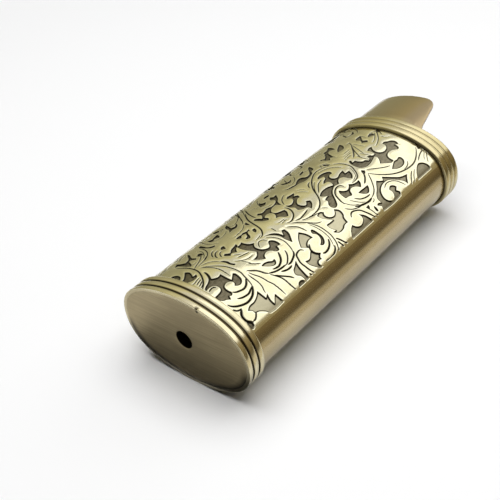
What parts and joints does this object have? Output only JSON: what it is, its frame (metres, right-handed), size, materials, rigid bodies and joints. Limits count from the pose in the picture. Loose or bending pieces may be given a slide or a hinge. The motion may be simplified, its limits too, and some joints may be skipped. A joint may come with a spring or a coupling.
{
  "type": "lighter case",
  "caption": "Oval brass sleeve closed at one end by a plate with a push-out hole, with a beaded band round each end and a wind guard standing up at the open end.",
  "frame": {"origin": "on the surface that the case lies on, under the middle of its box", "axes": "+Y along the length, from the bottom plate to the wind guard; +Z out of the engraved front, upwards as the case lies on its back; +X towards the narrow end that has no guard"},
  "size_m": [0.028, 0.0768, 0.0183],
  "materials": {
    "tube_brass": "antiqued, satin on the narrow ends, engraved on the broad faces",
    "plate_brass": "brushed along the long axis of the oval",
    "collar_brass": "polished beads with darkened grooves"
  },
  "bodies": {
    "root": {"sleeve": "tube_brass", "bottom_plate": "plate_brass", "bottom_collar": "collar_brass", "top_collar": "collar_brass"}
  },
  "joints": []
}
